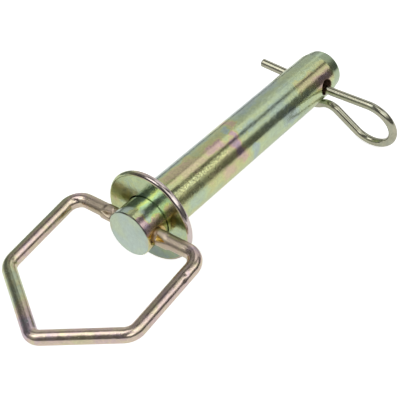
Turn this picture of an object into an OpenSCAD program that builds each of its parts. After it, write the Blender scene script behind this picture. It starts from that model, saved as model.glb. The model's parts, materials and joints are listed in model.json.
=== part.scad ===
// Hitch pin with a swinging pull handle and a hairpin clip.
// +X runs along the shaft to its tip, +Z is up, and both cross holes run along Y.
// The origin is the centre of the collar's seat, the face that meets the coupling.

/* [Shaft] */
// Diameter of the grip, the stretch that fills the coupling's holes
shaft_d = 25.4; // [24:0.1:28]
// Length of the grip at its full diameter
grip_len = 122; // [60:1:122]
// Distance from the collar's seat to the tip
reach = 148.5; // [148:0.5:200]
// How much thinner the drilled end is than the grip, on the radius
end_relief = 0.17; // [0.16:0.01:0.4]
// Length over which the grip thins down to the drilled end
relief_run = 5; // [2:0.5:5]
// Length of the tapered lead at the tip
lead_len = 8.5; // [6:0.5:9]
// Drop in radius along the tapered lead
lead_drop = 1.5; // [0.5:0.1:3]
// Rounding of the tip's edge
tip_round = 2.6; // [1:0.1:4]
// Diameter of the hole for the clip
clip_hole_d = 8.8; // [8.7:0.1:9.2]
// How far the clip's hole lies above the shaft's axis
clip_hole_up = 1.2; // [1:0.1:1.3]
// Width of the countersink round the clip's hole
clip_mouth = 0.5; // [0.3:0.1:0.7]
// Distance from the tip to the clip's hole
clip_hole_back = 16.3; // [14:0.1:16.3]

/* [Head] */
// Diameter of the head, which also carries the collar
head_d = 24.4; // [23:0.1:25]
// Length of the head in front of the collar
head_len = 14.3; // [13:0.1:16]
// Rounding of the head's front edge
head_round = 0.7; // [0.3:0.1:1]
// Diameter of the swing hole, the bore for the handle's wire
swing_hole_d = 7.48; // [7.4:0.01:7.49]
// Distance from the collar's seat to the swing hole
swing_hole_ahead = 11; // [10.5:0.1:11.5]
// Radius of the countersink where the swing hole comes out of the head
mouth_r = 5.6; // [4.5:0.1:5.8]

/* [Collar] */
// Diameter of the collar
collar_d = 49.8; // [40:0.1:60]
// Thickness of the collar
collar_t = 3.6; // [3:0.1:4]
// Rounding of the collar's rim
rim_round = 1.5; // [0.5:0.1:1.5]
// Width of the narrow gap round the head where it enters the collar
bore_gap = 0.5; // [0.2:0.1:0.8]

/* [Handle] */
// Diameter of the handle's wire
wire_d = 7.3; // [7.25:0.01:7.38]
// Half of the handle's width, between the middles of its wires
half_width = 38.8; // [36:0.1:45]
// Distance from the swing axis to the handle's shoulders
shoulder_at = 50.1; // [40:0.1:60]
// Distance from the swing axis to the handle's point
point_at = 75.2; // [72:0.1:90]
// Bend radius at the four corners, to the middle of the wire
corner_r = 7.9; // [6:0.1:10]
// Bend radius at the point, to the middle of the wire
point_r = 6; // [4:0.1:8]
// How far below the shaft's axis the handle hangs
hang = 9.45; // [0:0.05:12]
// How far the handle has slid sideways in its hole
side_play = 0.8; // [0:0.1:0.8]

/* [Stakes] */
// Distance from the middle of the handle's wire to where the stakes start
stake_from = 13.6; // [13.6:0.1:14]
// Distance to the end of the upper lip
upper_lip_to = 20; // [18:0.1:22]
// Distance to the end of the lower lip
lower_lip_to = 21.5; // [20:0.1:24]
// Radius of a lip
lip_r = 2.2; // [1.8:0.1:2.2]
// How far a lip's middle lies from the wire's middle
lip_off = 2.2; // [1.8:0.1:2.2]
// Direction that the chisel groove faces, up from the handle's plane
groove_aim = 38; // [0:1:90]
// Distance from the wire's middle to the bottom of the groove
groove_floor = 2.2; // [2:0.1:3]

/* [Clip] */
// Diameter of the clip's wire
clip_wire_d = 4.6; // [4.4:0.1:4.7]
// Length of the straight leg past the shaft's axis
leg_past = 29.9; // [25:0.1:32]
// How far the straight leg lies below the shaft's axis
leg_drop = 0.4; // [0:0.1:0.6]
// Slight bend of the straight leg inside the shaft, which lifts its far end
leg_kick = 4.9; // [3:0.1:5]
// Bend radius of the loop
loop_r = 14; // [13:0.1:15]
// Angle that the loop turns through
loop_turn = 223.5; // [215:0.5:228]
// Radius of the bend between the loop and the sprung leg
neck_r = 7.7; // [6:0.1:8]
// Place round the shaft where the sprung leg starts to hug it
hug_from = 58; // [50:1:65]
// Place round the shaft where the sprung leg leaves it
hug_to = 125; // [110:1:130]
// Lean of the clip towards the tip
lean = 12.6; // [0:0.1:13]
// Bend radius of the flared end
flare_r = 5; // [4:0.5:8]
// Angle of the flare
flare_turn = 62; // [40:1:80]
// Length of the flared end
flare_len = 5; // [3:0.5:10]

/* [Hidden] */
$fn = 96;
wire_fn = 48;
// Clearance between the clip's sprung leg and the shaft
gap = 0.05;
// How far cutters run past the surface that they cut
past = 1;
grip_r = shaft_d / 2;
end_r = grip_r - end_relief;
head_r = head_d / 2;
head_x = -collar_t - head_len;
collar_r = collar_d / 2;
// Depth of the gap round the head
bore_gap_depth = 1.5;
swing_hole_r = swing_hole_d / 2;
// The shaft widens from the head to the grip in a short cone inside the collar.
step = grip_r - head_r;
clip_x = reach - clip_hole_back;
wire_r = wire_d / 2;
// Chamfer of a wire's cut ends
wire_end = 0.5;
// How far a straight run of wire reaches into the bends at its ends
lap = 0.25;
// How much thicker than the straight runs a bend is, on the radius
swell = 0.02;
// Straight run between two bends that follow each other directly
short_run = 0.6;
// Gap between the two ends of the handle's wire inside the head
butt_gap = 2;
// Half width of the chisel groove where it leaves the wire, and its distance from the stake's start
lip_groove_w = 2.2;
groove_from = stake_from + 0.6;
// Radius of the slight bend in the clip's straight leg
kick_r = 20;
clip_r = clip_wire_d / 2;

// Points of an arc about [x, y] from angle a to angle b
function arc(x, y, r, a, b, n = 8) =
    [for (i = [0:n]) let (t = a + (b - a) * i / n) [x + r * cos(t), y + r * sin(t)]];

// Turns a profile of [distance along the shaft, radius] into a solid of revolution about X
module turned(profile) {
    rotate([0, 90, 0])
        rotate_extrude()
            polygon([for (p = profile) [p[1], p[0]]]);
}

// A hole of radius r along Y at [x, z], right through the shaft
module cross_hole(x, z, r) {
    translate([x, grip_r + past, z])
        rotate([90, 0, 0])
            cylinder(h = 2 * (grip_r + past), r = r);
}

// The countersinks at both mouths of a cross hole of radius r through a body of radius body_r
module hole_mouths(x, z, r, body_r, width) {
    for (side = [-1, 1])
        translate([x, side * (body_r - width), z])
            rotate([-90 * side, 0, 0])
                cylinder(h = width + past, r1 = r, r2 = r + width + past);
}

// One straight run and one bend of a wire for each step [run, bend radius, turn], in the XY plane.
// A bend is a hair thicker than the runs, which lap into it, so that the pieces join cleanly.
module bent_wire(r, steps, i = 0) {
    if (i < len(steps)) {
        run = steps[i][0];
        bend_r = steps[i][1];
        turn = steps[i][2];
        side = sign(turn);
        before = i > 0 ? lap : 0;
        after = turn != 0 ? lap : 0;
        translate([-before, 0, 0])
            rotate([0, 90, 0])
                cylinder(h = before + run + after, r = r, $fn = wire_fn);
        if (turn != 0)
            translate([run, side * bend_r, 0])
                rotate([0, 0, side > 0 ? -90 : 90 - abs(turn)])
                    rotate_extrude(angle = abs(turn))
                        translate([bend_r, 0])
                            circle(r = r + swell, $fn = wire_fn);
        translate([run + bend_r * sin(abs(turn)), side * bend_r * (1 - cos(turn)), 0])
            rotate([0, 0, turn])
                bent_wire(r, steps, i + 1);
    }
}

// A wire's chamfered end, which points along -X
module wire_tip(r) {
    rotate([0, -90, 0])
        cylinder(h = wire_end, r1 = r, r2 = r - wire_end, $fn = wire_fn);
}

// Shaft and head, turned from one bar, with the two cross holes
module pin_shaft() {
    taper = atan(lead_drop / lead_len);
    tip_r = end_r - lead_drop;
    round_x = reach - tip_round;
    round_y = tip_r + tip_round * tan(taper) - tip_round / cos(taper);
    front = arc(head_x + head_round, head_r - head_round, head_round, 180, 90);
    tip = arc(round_x, round_y, tip_round, 90 - taper, 0);
    color([0.80, 0.77, 0.58])
        difference() {
            turned(concat(
                [[head_x, 0]],
                front,
                [[-step, head_r], [0, grip_r], [grip_len, grip_r], [grip_len + relief_run, end_r],
                 [reach - lead_len, end_r]],
                tip,
                [[reach, 0]]));
            cross_hole(clip_x, clip_hole_up, clip_hole_d / 2);
            hole_mouths(clip_x, clip_hole_up, clip_hole_d / 2, end_r, clip_mouth);
            cross_hole(-swing_hole_ahead, 0, swing_hole_r);
            hole_mouths(-swing_hole_ahead, 0, swing_hole_r, head_r, mouth_r - swing_hole_r);
        }
}

// Collar, a ring pressed on the head against the cone
module collar() {
    rim = collar_r - rim_round;
    front = arc(rim_round - collar_t, rim, rim_round, 180, 90);
    back = arc(-rim_round, rim, rim_round, 90, 0);
    color([0.74, 0.74, 0.52])
        turned(concat(
            [[bore_gap_depth - collar_t, head_r], [-collar_t, head_r + bore_gap]],
            front,
            back,
            [[0, grip_r], [-step, head_r]]));
}

// One side's stake: a chisel groove with the two lips that it pushed up
module stake_lips() {
    tops = [upper_lip_to, lower_lip_to];
    for (i = [0, 1]) {
        len = tops[i] - stake_from;
        translate([stake_from, 0, (1 - 2 * i) * lip_off])
            turned(concat([[0, 0], [0, lip_r]], arc(len - lip_r, 0, lip_r, 90, 0)));
    }
}

module stake_groove() {
    translate([groove_from, 0, 0])
        rotate([90, 0, 90])
            linear_extrude(upper_lip_to - groove_from)
                polygon([[groove_floor, 0], [wire_r + past, lip_groove_w], [wire_r + past, -lip_groove_w]]);
}

// Handle: one wire bent to a five-sided link, its two ends held in the head by the stakes
module swing_handle() {
    rise = point_at - shoulder_at;
    slope = atan(rise / half_width);
    side_len = norm([rise, half_width]);
    corner_cut = corner_r * tan((90 - slope) / 2);
    point_cut = point_r * tan(slope);
    first = half_width - corner_r - butt_gap / 2;
    upright = shoulder_at - corner_r - corner_cut;
    sloped = side_len - corner_cut - point_cut;
    color([0.80, 0.72, 0.55])
        translate([-swing_hole_ahead, side_play, 0])
            rotate([0, -hang, 0])
                rotate([0, 0, 90])
                    difference() {
                        union() {
                            translate([butt_gap / 2, 0, 0]) {
                                wire_tip(wire_r);
                                bent_wire(wire_r, [
                                    [first, corner_r, 90],
                                    [upright, corner_r, 90 - slope],
                                    [sloped, point_r, 2 * slope],
                                    [sloped, corner_r, 90 - slope],
                                    [upright, corner_r, 90],
                                    [first, 0, 0]]);
                            }
                            for (side = [0, 1])
                                mirror([side, 0, 0])
                                    rotate([groove_aim, 0, 0])
                                        stake_lips();
                        }
                        for (side = [0, 1])
                            mirror([side, 0, 0])
                                rotate([groove_aim, 0, 0])
                                    stake_groove();
                    }
}

// Clip: a straight leg through the hole, a loop, and a sprung leg that hugs the shaft
module hairpin_clip() {
    hug_r = (end_r + clip_r + gap) / cos(lean);
    // Where the straight run after the loop meets the neck's bend
    neck_u = (hug_r + neck_r) * cos(hug_from) - neck_r * sin(loop_turn);
    neck_v = (hug_r + neck_r) * sin(hug_from) + neck_r * cos(loop_turn);
    // Where the loop ends, above its start
    loop_v = leg_drop + loop_r * (1 - cos(loop_turn));
    run = (neck_v - loop_v) / sin(loop_turn);
    loop_u = neck_u - run * cos(loop_turn) - loop_r * sin(loop_turn);
    kick_cut = kick_r * tan(leg_kick / 2);
    color([0.80, 0.81, 0.80])
        translate([clip_x, 0, 0])
            rotate([0, -lean, 0])
                rotate([-90, 0, -90])
                    translate([-leg_past * cos(leg_kick), leg_drop - leg_past * sin(leg_kick), 0])
                        rotate([0, 0, leg_kick]) {
                            wire_tip(clip_r);
                            bent_wire(clip_r, [
                                [leg_past - kick_cut, kick_r, -leg_kick],
                                [loop_u - kick_cut, loop_r, loop_turn],
                                [run, neck_r, 90 + hug_from - loop_turn],
                                [short_run, hug_r, hug_to - hug_from],
                                [short_run, flare_r, -flare_turn],
                                [flare_len, 0, 0]]);
                        }
}

pin_shaft();
collar();
swing_handle();
hairpin_clip();
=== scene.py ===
"""Hitch pin with a swinging handle and a hairpin clip, in yellow zinc plate, on a plain pale floor.

+X runs along the shaft to its tip, and +Z is up. Shapes are in metres and radians, except for names that end
in _DEG. Materials are in millimetres and degrees.
"""

import json
import math

import bpy
import numpy as np
from mathutils import Matrix, Vector


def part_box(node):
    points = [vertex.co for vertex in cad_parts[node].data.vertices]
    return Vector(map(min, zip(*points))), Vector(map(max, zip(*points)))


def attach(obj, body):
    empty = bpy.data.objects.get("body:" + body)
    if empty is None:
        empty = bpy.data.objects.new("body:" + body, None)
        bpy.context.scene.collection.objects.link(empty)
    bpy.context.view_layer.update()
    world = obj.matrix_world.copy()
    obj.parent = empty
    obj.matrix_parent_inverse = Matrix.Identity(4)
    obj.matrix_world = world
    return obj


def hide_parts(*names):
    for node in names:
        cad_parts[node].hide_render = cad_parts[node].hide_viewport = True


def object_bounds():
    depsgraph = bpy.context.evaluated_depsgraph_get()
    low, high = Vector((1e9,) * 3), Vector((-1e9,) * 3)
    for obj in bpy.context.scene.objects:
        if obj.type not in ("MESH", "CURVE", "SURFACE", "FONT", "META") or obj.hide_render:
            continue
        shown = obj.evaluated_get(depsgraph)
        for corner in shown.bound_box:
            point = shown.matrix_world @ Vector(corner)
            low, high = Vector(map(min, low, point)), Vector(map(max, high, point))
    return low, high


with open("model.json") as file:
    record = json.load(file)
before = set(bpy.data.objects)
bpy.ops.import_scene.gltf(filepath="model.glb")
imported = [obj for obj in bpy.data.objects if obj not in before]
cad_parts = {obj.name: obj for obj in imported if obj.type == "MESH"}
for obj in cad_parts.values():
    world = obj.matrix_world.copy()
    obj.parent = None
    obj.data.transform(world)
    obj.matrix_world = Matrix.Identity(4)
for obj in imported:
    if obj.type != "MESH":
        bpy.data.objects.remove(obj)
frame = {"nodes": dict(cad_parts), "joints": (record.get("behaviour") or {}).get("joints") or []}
CAD_BOX = [list(corner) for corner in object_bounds()]
MM = 0.001
DEG = math.pi / 180
HEAD_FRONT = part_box("pin_shaft")[0][0]
COLLAR_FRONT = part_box("collar")[0][0]
PIVOT = np.array(frame["joints"][0]["pos_m"])

# The camera stands in front of the head, to its right and above it.
CAMERA_AT = Vector((-0.30560, -0.29145, 0.36310))
CAMERA_AIM = Vector((0.58023, 0.49621, -0.64584))
CAMERA_RIGHT = Vector((0.61381, -0.78761, -0.05398))
CAMERA_LENS_MM = 104.57
CAMERA_SENSOR_MM = 36.0


# ---------------------------------------------------------------- geometry helpers

# Edges that turn more than this are shaded sharp.
SHARP_DEG = 40
# Steps along a bent path before it is resampled
PATH_STEP = 0.5 * MM


def smooth_step(x, low, high):
    """0 below low, 1 above high, and a smooth rise between, for numbers or arrays. high may be the lower."""
    t = np.clip((np.asarray(x, float) - low) / (high - low), 0, 1)
    return t * t * (3 - 2 * t)


def new_mesh(name, verts, faces, uvs=None):
    """A smooth-shaded mesh object. uvs gives one (u, v) for each face corner."""
    mesh = bpy.data.meshes.new(name)
    mesh.from_pydata([tuple(v) for v in verts], [], faces)
    if uvs is not None:
        layer = mesh.uv_layers.new(name="along")
        layer.data.foreach_set("uv", np.asarray(uvs, np.float32).ravel())
    mesh.polygons.foreach_set("use_smooth", [True] * len(mesh.polygons))
    mesh.set_sharp_from_angle(angle=SHARP_DEG * DEG)
    mesh.update()
    obj = bpy.data.objects.new(name, mesh)
    bpy.context.scene.collection.objects.link(obj)
    return obj


def path_lengths(points):
    """Each point's distance along the path."""
    return np.concatenate([[0], np.cumsum(np.linalg.norm(np.diff(points, axis=0), axis=1))])


def tube(name, centres, sides, ups, radius, count):
    """A closed tube of rings of count points. radius(i, angles) gives ring i's radius, angles from side to up.

    Side, up and the path's direction make a left-handed set, and the faces look outwards.
    """
    angles = np.arange(count) * 2 * math.pi / count
    rings = []
    for i, (c, s, u) in enumerate(zip(centres, sides, ups)):
        r = radius(i, angles)
        rings.append(c + np.outer(r * np.cos(angles), s) + np.outer(r * np.sin(angles), u))
    verts = np.concatenate(rings)
    lengths = path_lengths(centres)
    faces, uvs = [], []
    for i in range(len(centres) - 1):
        for j in range(count):
            k = (j + 1) % count
            faces.append((i * count + j, (i + 1) * count + j, (i + 1) * count + k, i * count + k))
            a, b = j / count, (j + 1) / count
            uvs += [(lengths[i], a), (lengths[i + 1], a), (lengths[i + 1], b), (lengths[i], b)]
    last = (len(centres) - 1) * count
    faces.append(tuple(range(count)))
    faces.append(tuple(range(last + count - 1, last - 1, -1)))
    uvs += [(0, j / count) for j in range(count)]
    uvs += [(lengths[-1], j / count) for j in range(count - 1, -1, -1)]
    return new_mesh(name, verts, faces, uvs)


def bent_path(steps, start, heading=0.0):
    """Points and headings of a wire bent in a plane. Each step is [run, bend radius, turn in degrees]."""
    point = np.array(start, float)
    points, headings = [point], [heading]
    for run, bend_r, turn_deg in steps:
        count = max(1, round(run / PATH_STEP))
        ahead = np.array([math.cos(heading), math.sin(heading)])
        for i in range(count):
            points.append(point + ahead * run * (i + 1) / count)
            headings.append(heading)
        point = points[-1]
        if turn_deg:
            turn, side = turn_deg * DEG, math.copysign(1, turn_deg)
            centre = point + side * bend_r * np.array([-math.sin(heading), math.cos(heading)])
            count = max(6, round(abs(turn) * bend_r / (PATH_STEP * 0.7)))
            for i in range(count):
                h = heading + turn * (i + 1) / count
                points.append(centre + side * bend_r * np.array([math.sin(h), -math.cos(h)]))
                headings.append(h)
            point, heading = points[-1], heading + turn
    return np.array(points), np.array(headings)


def resample(points, headings, distances):
    """A path's points and headings at each of distances(total length), and those distances."""
    along = path_lengths(points)
    keep = np.concatenate([[True], np.diff(along) > 1e-9])
    along, points, headings = along[keep], points[keep], headings[keep]
    wanted = np.unique(np.concatenate(distances(along[-1])))
    placed = np.stack([np.interp(wanted, along, points[:, k]) for k in (0, 1)], axis=1)
    return placed, np.interp(wanted, along, headings), wanted


def place(points, origin, x_dir, y_dir):
    """The points of a plane in the row frame."""
    return np.asarray(origin) + np.outer(points[:, 0], x_dir) + np.outer(points[:, 1], y_dir)


# ---------------------------------------------------------------- handle

# The link's sizes and the play in its hole are those of the CAD part.
WIRE_R = 3.65 * MM
HALF_WIDTH = 38.8 * MM
SHOULDER_AT = 50.1 * MM
POINT_AT = 75.2 * MM
CORNER_R = 7.9 * MM
POINT_R = 6 * MM
HANG_DEG = 9.45
SIDE_PLAY = 0.8 * MM
BUTT_GAP = 2 * MM
WIRE_END = 0.5 * MM
# The stakes beside the head: distances from the handle's middle, and directions round the wire from the
# groove, whose half width grows from its point to its end beside the head
STAKE_FROM = 13.6 * MM
UPPER_LIP_TO = 19.6 * MM
LOWER_LIP_TO = 21.4 * MM
LIP_HEIGHT = 0.66 * MM
LIP_OFF_DEG = 66
LIP_WIDTH_DEG = 32
GROOVE_TO = 20.8 * MM
GROOVE_DEPTH = 1.5 * MM
GROOVE_AIM_DEG = 38
GROOVE_HALF_DEG = (6, 36)
# The bending tool's marks
MARK_DEPTH = 0.18 * MM
MARK_LENGTH = 1.1 * MM
# Rings closer together near the stakes than along the link
STAKE_ZONE = 24 * MM
STAKE_RINGS = 0.16 * MM
LINK_RINGS = 0.4 * MM
HANDLE_SIDES = 96


def turned_by(angles, aim):
    """How far each angle is from aim, either way round."""
    return np.abs((angles - aim + math.pi) % (2 * math.pi) - math.pi)


def stake_shape(distance, angles):
    """How far the wire's surface moves beside the head: a V groove between two lips, angles from the groove."""
    off = turned_by(angles, 0)
    near = smooth_step(distance, STAKE_FROM - 0.3 * MM, STAKE_FROM + 0.4 * MM)
    lip_end = np.where(np.sin(angles) > 0, UPPER_LIP_TO, LOWER_LIP_TO)
    far = smooth_step(distance, lip_end + 0.3 * MM, lip_end - 1.9 * MM)
    lip = LIP_HEIGHT * near * far * np.exp(-(((off - LIP_OFF_DEG * DEG) / (LIP_WIDTH_DEG * DEG)) ** 2))
    # The groove narrows to a point away from the head.
    open_by = 1 - smooth_step(distance, STAKE_FROM, GROOVE_TO)
    groove_near = smooth_step(distance, STAKE_FROM - 0.2 * MM, STAKE_FROM + 0.8 * MM)
    narrow, wide = GROOVE_HALF_DEG
    half = narrow * DEG + (wide - narrow) * DEG * open_by
    groove = GROOVE_DEPTH * groove_near * np.minimum(1, 2 * open_by) * smooth_step(off, half, 0)
    return lip - groove


def make_handle():
    """The wire handle, with its stakes, and the marks that the bending tool left inside the bends."""
    rise = POINT_AT - SHOULDER_AT
    slope = math.atan2(rise, HALF_WIDTH)
    corner_cut = CORNER_R * math.tan((90 * DEG - slope) / 2)
    point_cut = POINT_R * math.tan(slope)
    first = HALF_WIDTH - CORNER_R - BUTT_GAP / 2
    upright = SHOULDER_AT - CORNER_R - corner_cut
    sloped = math.hypot(rise, HALF_WIDTH) - corner_cut - point_cut
    corner_turn, point_turn = 90 - slope / DEG, 2 * slope / DEG
    points, headings = bent_path(
        [[first, CORNER_R, 90], [upright, CORNER_R, corner_turn], [sloped, POINT_R, point_turn],
         [sloped, CORNER_R, corner_turn], [upright, CORNER_R, 90], [first, 0, 0]],
        (BUTT_GAP / 2, 0))

    def distances(total):
        tip = np.arange(0, WIRE_END, WIRE_END / 3)
        near_zone, far_zone = STAKE_ZONE, total - STAKE_ZONE
        return [tip, np.arange(WIRE_END, near_zone, STAKE_RINGS), np.arange(near_zone, far_zone, LINK_RINGS),
                np.arange(far_zone, total - WIRE_END, STAKE_RINGS), total - tip]

    points, headings, along = resample(points, headings, distances)
    total = along[-1]
    hang = HANG_DEG * DEG
    across = np.array([0, 1, 0])
    outward = np.array([-math.cos(hang), 0, -math.sin(hang)])
    up = np.cross(across, outward)
    centres = place(points, PIVOT + np.array([0, SIDE_PLAY, 0]), across, outward)
    # The side direction points out of the link, which lies on the left of its path.
    sides = np.stack([np.sin(headings), -np.cos(headings)], axis=1)
    sides = np.outer(sides[:, 0], across) + np.outer(sides[:, 1], outward)
    ups = np.repeat(up[None], len(centres), axis=0)

    first_bend_end = first + CORNER_R * 90 * DEG
    second_bend_end = first_bend_end + upright + CORNER_R * corner_turn * DEG
    # Marks of the bending tool: distance along the wire, and angle from the outside of the link
    marks = [(first_bend_end, 165), (second_bend_end - 3 * MM, 170), (total - first_bend_end - 5 * MM, 60),
             (total - first_bend_end - 8 * MM, 35), (total - second_bend_end + 2 * MM, 175)]

    def marked(distance, angles):
        """How deep the tool's marks are."""
        depth = 0 * angles
        for at, angle_deg in marks:
            off = turned_by(angles, angle_deg * DEG) * WIRE_R
            depth += MARK_DEPTH * np.exp(-((off / MARK_LENGTH) ** 2) - ((distance - at) / MARK_LENGTH) ** 2)
        return depth

    def radius(i, angles):
        end = min(along[i], total - along[i])
        r = WIRE_R - max(0, WIRE_END - end) - marked(along[i], angles)
        distance = abs(points[i][0])
        if abs(points[i][1]) < 1e-6 and distance < STAKE_ZONE:
            # Angle 180 points along the link's outward direction, and 90 along up.
            r = r + stake_shape(distance, math.pi - angles - GROOVE_AIM_DEG * DEG)
        return r

    handle = tube("swing_handle_wire", centres, sides, ups, radius, HANDLE_SIDES)
    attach(handle, "handle")
    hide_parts("swing_handle")
    return handle


# ---------------------------------------------------------------- clip

# The sizes of the CAD part
CLIP_R = 2.3 * MM
CLIP_X = 132.2 * MM
CLIP_HOLE_UP = 1.2 * MM
SHAFT_END_R = 12.53 * MM
LEG_PAST = 29.9 * MM
LEG_DROP = 0.4 * MM
LEG_KICK_DEG = 4.9
KICK_R = 20 * MM
LOOP_R = 14 * MM
LOOP_TURN_DEG = 223.5
NECK_R = 7.7 * MM
HUG_FROM_DEG = 58
HUG_TO_DEG = 125
LEAN_DEG = 12.6
FLARE_R = 5 * MM
FLARE_TURN_DEG = 62
FLARE_LEN = 5 * MM
SHORT_RUN = 0.6 * MM
HUG_GAP = 0.05 * MM
# The rounding of the wire's ends, and the rings along it
CLIP_END = 0.7 * MM
CLIP_RINGS = 0.5 * MM
CLIP_SIDES = 64


def make_clip():
    """The hairpin clip: straight leg, loop, and the sprung leg that hugs the shaft from below."""
    lean, turn, hug_from = LEAN_DEG * DEG, LOOP_TURN_DEG * DEG, HUG_FROM_DEG * DEG
    hug_r = (SHAFT_END_R + CLIP_R + HUG_GAP) / math.cos(lean)
    neck_u = (hug_r + NECK_R) * math.cos(hug_from) - NECK_R * math.sin(turn)
    neck_v = (hug_r + NECK_R) * math.sin(hug_from) + NECK_R * math.cos(turn)
    loop_v = LEG_DROP + LOOP_R * (1 - math.cos(turn))
    run = (neck_v - loop_v) / math.sin(turn)
    loop_u = neck_u - run * math.cos(turn) - LOOP_R * math.sin(turn)
    kick, kick_cut = LEG_KICK_DEG * DEG, KICK_R * math.tan(LEG_KICK_DEG * DEG / 2)
    points, headings = bent_path(
        [[LEG_PAST - kick_cut, KICK_R, -LEG_KICK_DEG], [loop_u - kick_cut, LOOP_R, LOOP_TURN_DEG],
         [run, NECK_R, 90 + HUG_FROM_DEG - LOOP_TURN_DEG], [SHORT_RUN, hug_r, HUG_TO_DEG - HUG_FROM_DEG],
         [SHORT_RUN, FLARE_R, -FLARE_TURN_DEG], [FLARE_LEN, 0, 0]],
        (-LEG_PAST * math.cos(kick), LEG_DROP - LEG_PAST * math.sin(kick)), kick)

    def distances(total):
        tip = np.arange(0, CLIP_END, CLIP_END / 5)
        return [tip, np.arange(CLIP_END, total - CLIP_END, CLIP_RINGS), total - tip]

    points, headings, along = resample(points, headings, distances)
    total = along[-1]
    u_dir = np.array([0, -1, 0])
    v_dir = np.array([math.sin(lean), 0, -math.cos(lean)])
    normal = np.cross(u_dir, v_dir)
    centres = place(points, (CLIP_X, 0, 0), u_dir, v_dir)
    sides = np.outer(np.sin(headings), u_dir) - np.outer(np.cos(headings), v_dir)
    ups = np.repeat(normal[None], len(centres), axis=0)

    def radius(i, angles):
        near_end = max(0.0, 1 - min(along[i], total - along[i]) / CLIP_END)
        return CLIP_R - CLIP_END * (1 - math.sqrt(1 - near_end**2)) + 0 * angles

    clip = tube("hairpin_clip_wire", centres, sides, ups, radius, CLIP_SIDES)
    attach(clip, "clip")
    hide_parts("hairpin_clip")
    return clip


# ---------------------------------------------------------------- materials


class Nodes:
    """A short way to write a node tree. All calls but node, join and split return a new output socket."""

    def __init__(self, tree):
        self.tree = tree

    def node(self, kind, **settings):
        made = self.tree.nodes.new(kind)
        for name, value in settings.items():
            setattr(made, name, value)
        return made

    def join(self, value, socket):
        if isinstance(value, bpy.types.NodeSocket):
            self.tree.links.new(value, socket)
        else:
            socket.default_value = value

    def math(self, operation, *values):
        made = self.node("ShaderNodeMath", operation=operation)
        for value, socket in zip(values, made.inputs):
            self.join(value, socket)
        return made.outputs[0]

    def rise(self, value, low, high):
        """A smooth rise from 0 at low to 1 at high."""
        made = self.node("ShaderNodeMapRange", interpolation_type="SMOOTHSTEP")
        for given, socket in zip((value, low, high, 0.0, 1.0), made.inputs):
            self.join(given, socket)
        return made.outputs[0]

    def window(self, value, low, high, soft):
        """1 between low and high, fading to 0 over soft outside them."""
        return self.math("MULTIPLY", self.rise(value, low - soft, low), self.rise(value, high + soft, high))

    def split(self, vector):
        made = self.node("ShaderNodeSeparateXYZ")
        self.join(vector, made.inputs[0])
        return made.outputs

    def combine(self, x, y, z):
        made = self.node("ShaderNodeCombineXYZ")
        for value, socket in zip((x, y, z), made.inputs):
            self.join(value, socket)
        return made.outputs[0]

    def noise(self, vector, scale, detail, roughness, distortion=0.0):
        made = self.node("ShaderNodeTexNoise")
        self.join(vector, made.inputs["Vector"])
        settings = {"Scale": scale, "Detail": detail, "Roughness": roughness, "Distortion": distortion}
        for name, value in settings.items():
            made.inputs[name].default_value = value
        return made.outputs["Fac"]

    def mix(self, factor, a, b, blend="MIX"):
        made = self.node("ShaderNodeMix", data_type="RGBA", blend_type=blend)
        self.join(factor, made.inputs["Factor"])
        for value, socket in ((a, made.inputs[6]), (b, made.inputs[7])):
            self.join((*value, 1.0) if isinstance(value, tuple) else value, socket)
        return made.outputs[2]

    def shade(self, colour, value):
        """The colour times a value."""
        return self.mix(1.0, colour, self.combine(value, value, value), "MULTIPLY")

    def tint(self, colour, where, amount, other):
        """The colour, with the other colour mixed in by amount where where is 1."""
        return self.mix(self.math("MULTIPLY", where, amount), colour, other)

    def ramp(self, value, stops):
        """A colour for each value. Stops are (position, (r, g, b))."""
        made = self.node("ShaderNodeValToRGB")
        self.join(value, made.inputs[0])
        ramp = made.color_ramp
        while len(ramp.elements) < len(stops):
            ramp.elements.new(0.5)
        for element, (position, colour) in zip(ramp.elements, stops):
            element.position = position
            element.color = (*colour, 1.0)
        return made.outputs[0]

    def bump(self, height, strength, distance, normal=None):
        """A bumped normal, on top of the given one or else the mesh's own."""
        made = self.node("ShaderNodeBump")
        if normal is not None:
            self.join(normal, made.inputs["Normal"])
        made.inputs["Strength"].default_value = strength
        made.inputs["Distance"].default_value = distance
        self.join(height, made.inputs["Height"])
        return made.outputs[0]


def start_material(name):
    """A new material, with its node tree and its shader."""
    material = bpy.data.materials.new(name)
    material.use_nodes = True
    return material, Nodes(material.node_tree), material.node_tree.nodes["Principled BSDF"]


# The plate's colour by film thickness, from thin to thick: blue-grey, sage, green, yellow-green, champagne,
# rose, violet and teal
PLATE = [
    (0.00, (0.40, 0.48, 0.47)), (0.16, (0.43, 0.54, 0.43)), (0.32, (0.49, 0.58, 0.34)),
    (0.46, (0.57, 0.58, 0.27)), (0.60, (0.61, 0.51, 0.32)), (0.74, (0.60, 0.43, 0.38)),
    (0.87, (0.48, 0.36, 0.45)), (1.00, (0.34, 0.45, 0.42)),
]
BARE_METAL = (0.60, 0.57, 0.53)
# Noise scales, per millimetre
CRYSTALS = 1.2
SPECKS = 0.9
DENTS = 0.35
PATCHES = 0.22
GRAIN_PATCHES = 0.11
BUMP_STRENGTH = 0.6
BUMP_DEPTH = 0.06 * MM


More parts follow.
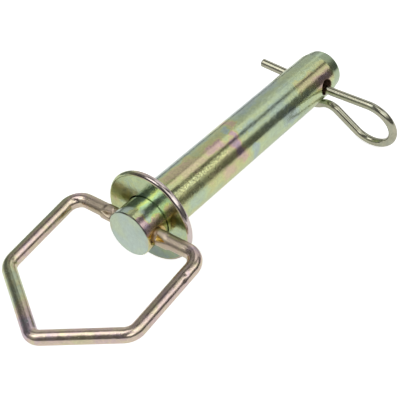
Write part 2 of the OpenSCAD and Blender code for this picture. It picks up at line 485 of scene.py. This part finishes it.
def plated(name, film, tone, roughness, grain, dents, pale=0.0, extra=None, coarse=None, normal=None):
    """Zinc plate. film(n, at, x, y, z) gives the film's thickness from 0 to 1 at a place in millimetres.

    tone scales the colour, roughness is the range that the patches span, grain scales the crystals, dents the
    long soft dents, and pale is how much of the bare metal's colour shows.
    extra(n, x, y, z, colour, rough) may change the colour and roughness at special places.
    coarse(n, x, y, z) gives more grain at special places, and normal(n, x, y, z) gives a smoother normal.
    """
    material, n, shader = start_material(name)
    scale = n.node("ShaderNodeVectorMath", operation="SCALE")
    n.join(n.node("ShaderNodeTexCoord").outputs["Object"], scale.inputs[0])
    scale.inputs["Scale"].default_value = 1 / MM
    at = scale.outputs[0]
    x, y, z = n.split(at)
    colour = n.mix(pale, n.ramp(film(n, at, x, y, z), PLATE), BARE_METAL)
    # Fine crystals, cloudy patches and small dark specks
    crystals = n.noise(at, CRYSTALS, 2, 0.7)
    patches = n.noise(at, PATCHES, 4, 0.6, 0.8)
    specks = n.rise(n.noise(at, SPECKS, 3, 0.75), 0.66, 0.74)
    value = n.math("MULTIPLY_ADD", n.math("SUBTRACT", crystals, 0.5), 0.5 * grain, tone)
    value = n.math("MULTIPLY_ADD", n.math("SUBTRACT", patches, 0.5), 0.45, value)
    value = n.math("MULTIPLY_ADD", specks, -0.22 * tone, value)
    colour = n.shade(colour, value)
    low, high = roughness
    rough = n.math("MULTIPLY_ADD", n.rise(patches, 0.3, 0.7), high - low, low)
    rough = n.math("MULTIPLY_ADD", specks, 0.15, rough)
    if extra:
        colour, rough = extra(n, x, y, z, colour, rough)
    n.join(colour, shader.inputs["Base Color"])
    n.join(rough, shader.inputs["Roughness"])
    shader.inputs["Metallic"].default_value = 1.0
    # Rolled surface: fine grain, stronger in some patches, over long soft dents
    grained = n.math("ADD", n.rise(n.noise(at, GRAIN_PATCHES, 2, 0.5), 0.42, 0.6), 0.4)
    if coarse:
        grained = n.math("ADD", grained, coarse(n, x, y, z))
    height = n.math("MULTIPLY_ADD", crystals, grained, n.math("MULTIPLY", n.noise(at, DENTS, 2, 0.5), dents))
    smooth = normal(n, x, y, z) if normal else None
    n.join(n.bump(height, BUMP_STRENGTH * grain, BUMP_DEPTH, smooth), shader.inputs["Normal"])
    return material


def radius_of(n, y, z):
    """The distance from an axis, from the two distances across it."""
    return n.math("SQRT", n.math("ADD", n.math("MULTIPLY", y, y), n.math("MULTIPLY", z, z)))


def smudges(n, at, scale, amount, stretch=(0.45, 1, 1)):
    """Film thickness that wanders by about amount either way. Smudges are longer where stretch is under 1."""
    mapping = n.node("ShaderNodeMapping")
    n.join(at, mapping.inputs["Vector"])
    mapping.inputs["Scale"].default_value = stretch
    mapping.inputs["Rotation"].default_value = (0.2, 0.3, 0.5)
    wander = n.math("SUBTRACT", n.noise(mapping.outputs[0], scale, 3, 0.6, 1.2), 0.5)
    return n.math("MULTIPLY", wander, 2 * amount)


# Clouds in the shaft's plate: x from and to in millimetres, angle from and to in degrees from the top towards
# -Y, softness in millimetres, and film thickness.
SHAFT_CLOUDS = {
    "grey head side": (-26, -2, -70, -4, 2.5, 0.06),
    "blue head back": (-11, -3, 17, 30, 2.5, 0.00),
    "mint head back": (-12, -3, 31, 48, 3, 0.08),
    "violet head front": (-26, -15, 26, 60, 2.5, 0.90),
    "violet head low": (-24, -6, 50, 66, 2.5, 0.85),
    "pale side": (12, 48, -60, -32, 9, 0.00),
    "brown side": (12, 30, -6, 5, 5, 0.62),
    "cream cloud": (20, 34, 12, 22, 5, 0.60),
    "rose streak": (41, 50, 9, 20, 5, 0.80),
    "blue edge": (58, 59.5, -10, 6, 2.5, 0.00),
    "orange edge": (64, 66, -36, 4, 3, 0.72),
    "rose ring": (59, 60, 12, 22, 3.5, 0.86),
    "violet ring": (55, 58, 28, 66, 4, 0.95),
    "rose foot": (57, 59, 72, 84, 5, 0.70),
    "teal mark": (65, 74, 24, 31, 4, 0.12),
    "blue side": (76, 104, -60, -24, 10, 0.00),
    "grey cloud": (90, 96, 34, 46, 7, 0.12),
    "champagne cloud": (114, 136, 30, 46, 6, 0.60),
    "violet by the hole": (128, 136, 52, 64, 7, 0.86),
    "green flank": (16, 22, 78, 90, 8, 0.16),
    "rose flank": (44, 47, 76, 90, 7, 0.70),
    "blue flank": (67, 68.5, 76, 120, 3, 0.00),
    "teal flank": (96, 102, 72, 88, 7, 0.00),
}
CLOUD_STRENGTH = 0.8
# How far the clouds' edges wander in all, in millimetres and degrees, and degrees of softness for each
# millimetre of it
CLOUD_WANDER = (9.0, 36.0)
CLOUD_SOFT_DEG = 2.5


def angle_from_top(n, y, z):
    """Degrees round X from straight up towards -Y."""
    return n.math("DEGREES", n.math("ARCTAN2", n.math("MULTIPLY", y, -1.0), z))


def clouded(n, at, film, x, angle, clouds):
    """The film with each cloud's own thickness inside it."""
    x = n.math("MULTIPLY_ADD", n.math("SUBTRACT", n.noise(at, 0.16, 3, 0.6), 0.5), CLOUD_WANDER[0], x)
    angle = n.math("MULTIPLY_ADD", n.math("SUBTRACT", n.noise(at, 0.21, 3, 0.6), 0.5), CLOUD_WANDER[1], angle)
    for x0, x1, angle0, angle1, soft, thickness in clouds.values():
        round_it = n.window(angle, angle0, angle1, CLOUD_SOFT_DEG * soft)
        inside = n.math("MULTIPLY", n.window(x, x0, x1, soft), round_it)
        inside = n.math("MULTIPLY", inside, CLOUD_STRENGTH)
        film = n.math("MULTIPLY_ADD", inside, n.math("SUBTRACT", thickness, film), film)
    return film


def shaft_film(n, at, x, y, z):
    """Yellow-green by the collar, sage towards the tip, and the clouds."""
    film = n.math("MULTIPLY_ADD", n.rise(x, 52.0, 80.0), -0.13, 0.42)
    film = n.math("ADD", film, smudges(n, at, 0.07, 0.20))
    film = clouded(n, at, film, x, angle_from_top(n, y, z), SHAFT_CLOUDS)
    return n.math("ADD", film, smudges(n, at, 0.25, 0.10))


def grainy_strip(n, x, y, z):
    """1 in the strip behind the collar where the grain is coarse and speckled."""
    along = n.window(x, 6.0, 44.0, 12.0)
    return n.math("MULTIPLY", along, n.window(angle_from_top(n, y, z), 36.0, 44.0, 8.0))


# From behind the collar to just before the lead, in millimetres
STRAIGHT_STRETCH = (3.0, 137.0)


def round_normal(n, x, y, z):
    """The normal of a true cylinder along the shaft, where the mesh's long thin faces shade unevenly."""
    across = n.node("ShaderNodeVectorTransform", vector_type="NORMAL", convert_from="OBJECT",
                    convert_to="WORLD")
    n.join(n.combine(0.0, y, z), across.inputs[0])
    outside = n.rise(radius_of(n, y, z), SHAFT_END_R / MM - 0.20, SHAFT_END_R / MM - 0.10)
    outside = n.math("MULTIPLY", outside, n.window(x, *STRAIGHT_STRETCH, 0.5))
    made = n.node("ShaderNodeMix", data_type="VECTOR")
    own = n.node("ShaderNodeNewGeometry").outputs["Normal"]
    n.join(outside, made.inputs["Factor"])
    n.join(own, made.inputs[4])
    n.join(across.outputs[0], made.inputs[5])
    unit = n.node("ShaderNodeVectorMath", operation="NORMALIZE")
    n.join(made.outputs[1], unit.inputs[0])
    return unit.outputs[0]


# A dark reflection painted along the rounded front edges of the head and the collar
PAINTED_DARK_REFLECTION = (0.10, 0.09, 0.08)
# The radius in millimetres at which the rounding of each front edge begins
HEAD_EDGE_FROM = 11.5
COLLAR_EDGE_FROM = 23.5


def painted_edge_reflection(n, x, y, z, front, edge_from):
    """1 in a thin line on the rounded front edge of a round part, on the upper side and on towards -Y, where a
    dark reflection is painted.
    """
    along = n.window(x, front + 0.12, front + 0.5, 0.12)
    outer = n.rise(radius_of(n, y, z), edge_from - 0.2, edge_from + 0.2)
    upper = n.window(angle_from_top(n, y, z), -8.0, 62.0, 12.0)
    return n.math("MULTIPLY", n.math("MULTIPLY", along, outer), upper)


FACE_TINTS = ((0.60, 0.71, 0.64), (0.64, 0.74, 0.57))
# A golden reflection painted at the swing hole's mouths
PAINTED_MOUTH_REFLECTION = (0.62, 0.42, 0.16)
LEAD_GREEN = (0.34, 0.44, 0.30)
# Shade painted inside the cross holes
PAINTED_BORE_SHADE = (0.30, 0.20, 0.14)


def shaft_places(n, x, y, z, colour, rough):
    """The dull end face, the speckled strip and the lead, with a painted golden reflection at the swing hole's
    mouths, painted shade in the cross holes and a painted dark reflection on the head's front edge.
    """
    at = n.combine(x, y, z)
    face = n.rise(x, HEAD_FRONT / MM + 0.25, HEAD_FRONT / MM + 0.05)
    mottle = n.math("MULTIPLY_ADD", n.noise(at, 0.5, 4, 0.7), 0.35, 0.82)
    face_tint = n.mix(n.rise(n.noise(at, 0.09, 2, 0.5), 0.38, 0.62), *FACE_TINTS)
    colour = n.mix(face, colour, n.shade(face_tint, mottle))
    rough = n.math("MAXIMUM", rough, n.math("MULTIPLY", face, 0.42))
    from_pivot = radius_of(n, n.math("SUBTRACT", x, PIVOT[0] / MM), z)
    # Painted golden reflection at the swing hole's mouths
    mouth_reflection = n.math("MULTIPLY", n.rise(from_pivot, 8.0, 4.6), n.rise(n.math("ABSOLUTE", y), 9.5, 11.0))
    colour = n.tint(colour, mouth_reflection, 0.8, PAINTED_MOUTH_REFLECTION)
    # Light and dark speckles
    fleck = n.math("SUBTRACT", n.noise(at, 1.0, 2, 0.5), 0.46)
    speckle = n.math("MULTIPLY", fleck, grainy_strip(n, x, y, z))
    colour = n.shade(colour, n.math("MULTIPLY_ADD", speckle, 2.2, 1.0))
    # Painted dark reflection along the head's rounded front edge
    colour = n.tint(colour, painted_edge_reflection(n, x, y, z, HEAD_FRONT / MM, HEAD_EDGE_FROM), 0.85, PAINTED_DARK_REFLECTION)
    # Rougher plate low down behind the collar
    dull = n.math("MULTIPLY", n.rise(x, 62.0, 36.0), n.window(angle_from_top(n, y, z), 46.0, 70.0, 10.0))
    rough = n.math("MULTIPLY_ADD", dull, 0.08, rough)
    colour = n.tint(colour, n.rise(x, 139.0, 141.0), 0.5, LEAD_GREEN)
    # Painted shade inside the cross holes, whose bores are also rougher
    from_clip = radius_of(n, n.math("SUBTRACT", x, CLIP_X / MM), n.math("SUBTRACT", z, CLIP_HOLE_UP / MM))
    shaded_bore = n.math("MAXIMUM", n.rise(from_clip, 4.75, 4.5), n.rise(from_pivot, 4.1, 3.9))
    return n.mix(shaded_bore, colour, PAINTED_BORE_SHADE), n.math("MAXIMUM", rough, n.math("MULTIPLY", shaded_bore, 0.6))


RIM_PALE = (0.80, 0.74, 0.68)


def collar_rim(n, y, z):
    """1 on the collar's rim, from the top round the -Y side."""
    outer = n.rise(radius_of(n, y, z), 23.2, 24.2)
    return n.math("MULTIPLY", outer, n.rise(angle_from_top(n, y, z), -40.0, 10.0))


def collar_film(n, at, x, y, z):
    """Green faces, yellower on the +Y side and greener low down, and a mauve rim on the -Y side."""
    film = n.math("ADD", 0.30, smudges(n, at, 0.10, 0.34, (1, 1, 1)))
    film = n.math("MULTIPLY_ADD", n.rise(y, 8.0, 18.0), 0.10, film)
    film = n.math("MULTIPLY_ADD", n.rise(z, -4.0, -14.0), -0.10, film)
    return n.math("ADD", film, n.math("MULTIPLY", collar_rim(n, y, z), n.math("SUBTRACT", 0.80, film)))


def collar_places(n, x, y, z, colour, rough):
    """A paler rim, painted shade low down and on the +Y side, and a painted dark reflection on the rim's front
    edge.
    """
    colour = n.tint(colour, collar_rim(n, y, z), 0.60, RIM_PALE)
    # Painted shade: the plate darkened low down and on the +Y side
    painted_low_shade = n.math("MULTIPLY_ADD", n.rise(z, -6.0, -18.0), -0.33, 1.0)
    colour = n.shade(colour, n.math("MULTIPLY_ADD", n.rise(y, 10.0, 18.0), -0.12, painted_low_shade))
    # Painted dark reflection along the rim's rounded front edge
    return n.tint(colour, painted_edge_reflection(n, x, y, z, COLLAR_FRONT / MM, COLLAR_EDGE_FROM), 0.8, PAINTED_DARK_REFLECTION), rough


BESIDE_BROWN = (0.53, 0.45, 0.32)
# A golden glint painted inside the -Y stake's groove
PAINTED_GROOVE_GLINT = (0.85, 0.60, 0.10)


def handle_film(n, at, x, y, z):
    """Champagne to rose, green on the +Y slope and on the +Y side's outside, and violet near the point."""
    slope = n.math("MULTIPLY", n.rise(x, -54.0, -64.0), n.rise(y, 4.0, 20.0))
    outside = n.rise(y, HALF_WIDTH / MM - 0.5, HALF_WIDTH / MM + 2.5)
    back = n.math("MULTIPLY", n.rise(x, -11.0, -8.0), n.rise(y, 16.0, 24.0))
    green = n.math("MAXIMUM", n.math("MAXIMUM", slope, outside), back)
    film = n.math("MULTIPLY_ADD", green, -0.34, 0.69)
    film = n.math("MULTIPLY_ADD", n.rise(z, -9.0, -14.0), -0.08, film)
    violet = n.math("MULTIPLY", n.rise(x, -66.0, -72.0), n.window(y, 3.0, 14.0, 5.0))
    film = n.math("MULTIPLY_ADD", violet, 0.22, film)
    return n.math("ADD", film, smudges(n, at, 0.12, 0.34, (1, 1, 1)))


def handle_places(n, x, y, z, colour, rough):
    """Dull brownish plate beside the head, and a painted golden glint inside the -Y stake's groove."""
    pivot_x = PIVOT[0] / MM
    depth = n.rise(radius_of(n, n.math("SUBTRACT", x, pivot_x), z), WIRE_R / MM - 0.1, WIRE_R / MM - 0.6)
    groove = n.math("MULTIPLY", depth, n.window(y, -GROOVE_TO / MM, -STAKE_FROM / MM, 0.5))
    beside = n.rise(n.math("ABSOLUTE", y), 34.0, 26.0)
    beside = n.math("MULTIPLY", beside, n.rise(x, pivot_x - 8.0, pivot_x - 4.0))
    colour = n.tint(colour, beside, 0.6, BESIDE_BROWN)
    # Painted golden glint inside the groove
    return n.tint(colour, groove, 0.85, PAINTED_GROOVE_GLINT), n.math("MULTIPLY_ADD", beside, 0.14, rough)


def clip_film(n, at, x, y, z):
    """Pale yellow-green all over."""
    return n.math("ADD", 0.44, smudges(n, at, 0.15, 0.22, (1, 1, 1)))


def paint(obj, material):
    obj.data.materials.clear()
    obj.data.materials.append(material)


# ---------------------------------------------------------------- floor, light and camera

FLOOR_HALF = 4.0
FLOOR_BELOW = 0.1 * MM
FLOOR_ALBEDO = 0.8
# The floor's own glow in reflections, and how much more of it the camera sees
FLOOR_GLOW = 0.34
FLOOR_GLOW_SEEN = 0.40
# Distances between which the floor fades out in reflections
FLOOR_FADE = (0.25, 0.75)


def make_floor():
    """A large pale floor under the lowest point of the object."""
    half, z = FLOOR_HALF, CAD_BOX[0][2] - FLOOR_BELOW
    corners = [(-half, -half, z), (half, -half, z), (half, half, z), (-half, half, z)]
    floor = new_mesh("floor", corners, [(0, 1, 2, 3)])
    material, n, shader = start_material("pale_floor")
    shader.inputs["Roughness"].default_value = 0.9
    shader.inputs["Specular IOR Level"].default_value = 0.0
    shader.inputs["Emission Color"].default_value = (1, 1, 1, 1)
    # Brighter to the camera than in the metal's reflections, where it also fades out like a table's edge, so
    # that the plate keeps its contrast
    x, y, _ = n.split(n.node("ShaderNodeTexCoord").outputs["Object"])
    seen = n.node("ShaderNodeLightPath").outputs["Is Camera Ray"]
    near = n.math("MAXIMUM", seen, n.rise(radius_of(n, x, y), FLOOR_FADE[1], FLOOR_FADE[0]))
    albedo = n.math("MULTIPLY", near, FLOOR_ALBEDO)
    n.join(n.combine(albedo, albedo, albedo), shader.inputs["Base Color"])
    glow = n.math("MULTIPLY_ADD", seen, FLOOR_GLOW_SEEN, FLOOR_GLOW)
    n.join(n.math("MULTIPLY", near, glow), shader.inputs["Emission Strength"])
    paint(floor, material)


# Soft studio panels round the object: azimuth from and to, elevation from and to, and softness, all in
# degrees, and brightness. Azimuth turns from +X towards +Y.
PANELS = {
    "low front box": (-62, -27, 27, 41, 4, 0.72),
    "top box": (-15, 20, 46, 60, 5, 0.82),
    "far window": (-10, 26, 6, 38, 7, 0.45),
    "left wall": (26, 54, -8, 47, 6, 0.40),
    "side wall": (54, 74, 10, 62, 6, 0.15),
    "left window": (92, 112, -10, 12, 8, 0.22),
    "back wall": (134, 180, 14, 50, 8, 0.20),
    "left ceiling": (92, 169, 62, 90, 7, 1.50),
    "back box": (139, 170, 43, 57, 4, 2.0),
    "rear right box": (216, 246, 25, 45, 5, 1.5),
    "right box": (260, 294, 44, 66, 26, 1.20),
    "right top": (296, 345, 70, 90, 8, 0.30),
    "right ceiling": (222, 262, 56, 90, 6, 0.7),
}
PANEL_BASE = 0.12


def make_world():
    """A dim room with soft panels. The camera sees plain white instead."""
    world = bpy.data.worlds.new("studio")
    bpy.context.scene.world = world
    world.use_nodes = True
    n = Nodes(world.node_tree)
    background = world.node_tree.nodes["Background"]
    x, y, z = n.split(n.node("ShaderNodeTexCoord").outputs["Generated"])
    azimuth = n.math("DEGREES", n.math("ARCTAN2", y, x))
    elevation = n.math("DEGREES", n.math("ARCSINE", z))
    light = PANEL_BASE
    for az0, az1, el0, el1, soft, bright in PANELS.values():
        half = (az1 - az0) / 2
        turned = n.math("WRAP", n.math("SUBTRACT", azimuth, (az0 + az1) / 2), 180.0, -180.0)
        across = n.rise(n.math("ABSOLUTE", turned), half + soft, half)
        panel = n.math("MULTIPLY", across, n.window(elevation, el0, el1, soft))
        light = n.math("MULTIPLY_ADD", panel, bright, light)
    seen = n.node("ShaderNodeLightPath").outputs["Is Camera Ray"]
    n.join(n.math("MAXIMUM", light, seen), background.inputs["Strength"])
    background.inputs["Color"].default_value = (1, 1, 1, 1)


def make_camera():
    """The camera at the photo's viewing angle."""
    data = bpy.data.cameras.new("camera")
    data.lens = CAMERA_LENS_MM
    data.sensor_width = CAMERA_SENSOR_MM
    data.clip_start = 0.01
    camera = bpy.data.objects.new("camera", data)
    bpy.context.scene.collection.objects.link(camera)
    back = -CAMERA_AIM.normalized()
    right = (CAMERA_RIGHT - CAMERA_RIGHT.dot(back) * back).normalized()
    turn = Matrix((right, back.cross(right), back)).transposed()
    camera.matrix_world = Matrix.Translation(CAMERA_AT) @ turn.to_4x4()
    bpy.context.scene.camera = camera


make_camera()
make_world()
make_floor()
paint(make_handle(),
      plated("zinc_handle", handle_film, tone=1.20, roughness=(0.16, 0.25), grain=1.1, dents=1.3, pale=0.28,
             extra=handle_places))
paint(make_clip(),
      plated("zinc_clip", clip_film, tone=0.80, roughness=(0.12, 0.19), grain=0.6, dents=1.0, pale=0.6))
paint(frame["nodes"]["pin_shaft"],
      plated("zinc_shaft", shaft_film, tone=1.15, roughness=(0.15, 0.22), grain=1.2, dents=0.9, pale=0.05,
             extra=shaft_places, coarse=grainy_strip, normal=round_normal))
paint(frame["nodes"]["collar"],
      plated("zinc_collar", collar_film, tone=1.10, roughness=(0.11, 0.18), grain=0.8, dents=2.6,
             extra=collar_places))
bpy.context.scene.view_settings.view_transform = "Standard"
